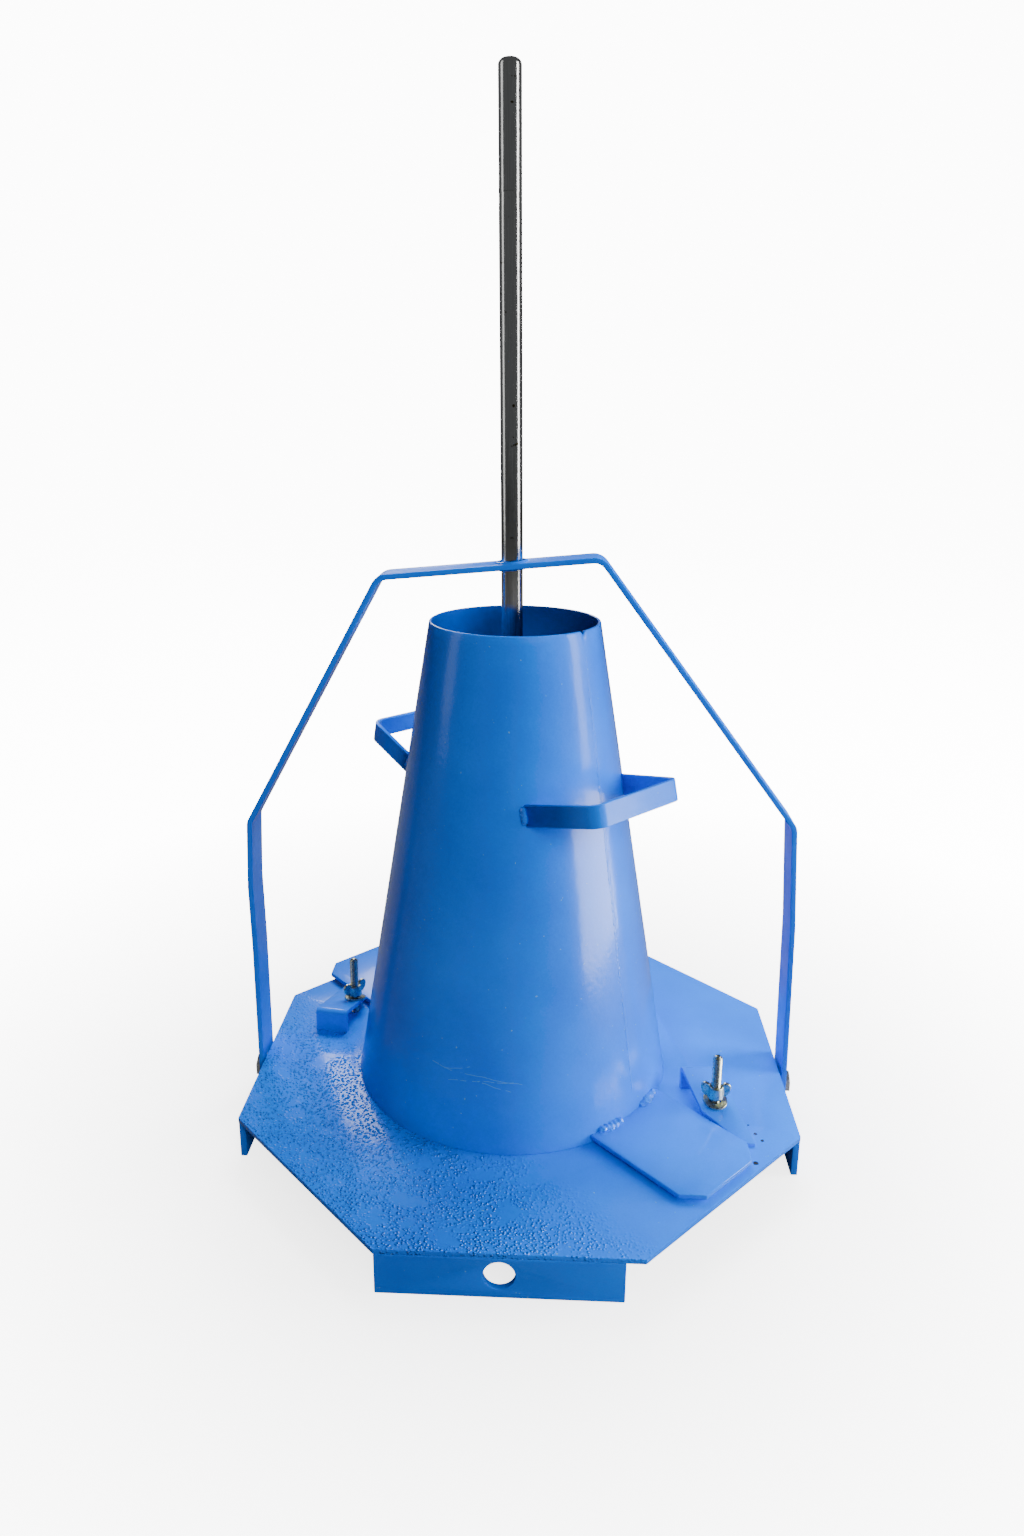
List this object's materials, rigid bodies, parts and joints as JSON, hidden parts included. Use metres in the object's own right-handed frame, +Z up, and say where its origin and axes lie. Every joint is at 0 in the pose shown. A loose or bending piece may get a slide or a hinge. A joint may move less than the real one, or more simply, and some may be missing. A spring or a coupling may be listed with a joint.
{
  "type": "concrete slump test set",
  "caption": "Steel slump cone on an octagonal base plate with strap clamps, wing nuts, a carrying bail and a tamping rod.",
  "frame": {"origin": "on the ground under the middle of the base plate and its bounding box", "axes": "+Z up, along the tamping rod; +Y from the front skirt, whose hole faces the user, to the back; +X to the right, along the bail's pivot line"},
  "size_m": [0.3626, 0.344, 0.6286],
  "materials": {
    "paint": "gloss blue enamel with orange peel, chips and scratches",
    "polished_steel": "drawn and polished bar",
    "zinc": "bright zinc plate",
    "yellow_zinc": "zinc plate, passivated pale yellow"
  },
  "bodies": {
    "base": {"base_plate": "paint", "skirt_front": "paint", "skirt_back": "paint", "skirt_left": "paint", "skirt_right": "paint", "skirt_welds": "paint", "pivot_bolts": "zinc", "pivot_spacers": "zinc", "pivot_nuts": "zinc", "clamp_bolts": "yellow_zinc"},
    "cone": {"cone_shell": "paint", "cone_seam_weld": "paint", "cone_foot_front": "paint", "cone_foot_rear": "paint", "foot_welds": "paint", "cone_handle_front": "paint", "cone_handle_rear": "paint", "handle_welds": "paint"},
    "bail": {"bail_bar": "paint"},
    "rod": {"tamping_rod": "polished_steel"},
    "strap_front": {"clamp_strap_front": "paint"},
    "washer_front": {"clamp_washer_front": "yellow_zinc"},
    "wing_nut_front": {"wing_nut_front": "yellow_zinc"},
    "strap_rear": {"clamp_strap_rear": "paint"},
    "washer_rear": {"clamp_washer_rear": "yellow_zinc"},
    "wing_nut_rear": {"wing_nut_rear": "yellow_zinc"}
  },
  "joints": [
    {"name": "bail_swing", "type": "hinge", "parent": "base", "child": "bail", "pos_m": [0, 0.005, 0.014], "axis": [1, 0, 0], "range_deg": [-6, 6]},
    {"name": "rod_lift", "type": "slide", "parent": "bail", "child": "rod", "axis": [-0.0105, 0, 0.9999], "range_m": [0, 0.33]},
    {"name": "cone_lift", "type": "slide", "parent": "base", "child": "cone", "axis": [0, 0, 1], "range_m": [0, 0.018]},
    {"name": "clamp_swivel_front", "type": "hinge", "parent": "base", "child": "strap_front", "pos_m": [0.1225, -0.053, 0.028], "axis": [0, 0, 1], "range_deg": [0, 30]},
    {"name": "washer_lift_front", "type": "slide", "parent": "strap_front", "child": "washer_front", "axis": [0, 0, 1], "range_m": [0, 0.008]},
    {"name": "wing_nut_spin_front", "type": "hinge", "parent": "washer_front", "child": "wing_nut_front", "pos_m": [0.1225, -0.053, 0.028], "axis": [0, 0, 1], "range_deg": [0, 2881]},
    {"name": "clamp_swivel_rear", "type": "hinge", "parent": "base", "child": "strap_rear", "pos_m": [-0.1225, 0.053, 0.028], "axis": [0, 0, 1], "range_deg": [0, 30]},
    {"name": "washer_lift_rear", "type": "slide", "parent": "strap_rear", "child": "washer_rear", "axis": [0, 0, 1], "range_m": [0, 0.008]},
    {"name": "wing_nut_spin_rear", "type": "hinge", "parent": "washer_rear", "child": "wing_nut_rear", "pos_m": [-0.1225, 0.053, 0.028], "axis": [0, 0, 1], "range_deg": [0, 2881]}
  ],
  "couplings": [
    {"joint": "wing_nut_spin_front", "follows": "washer_lift_front", "rad_per_m": 6283.2},
    {"joint": "wing_nut_spin_rear", "follows": "washer_lift_rear", "rad_per_m": 6283.2}
  ]
}
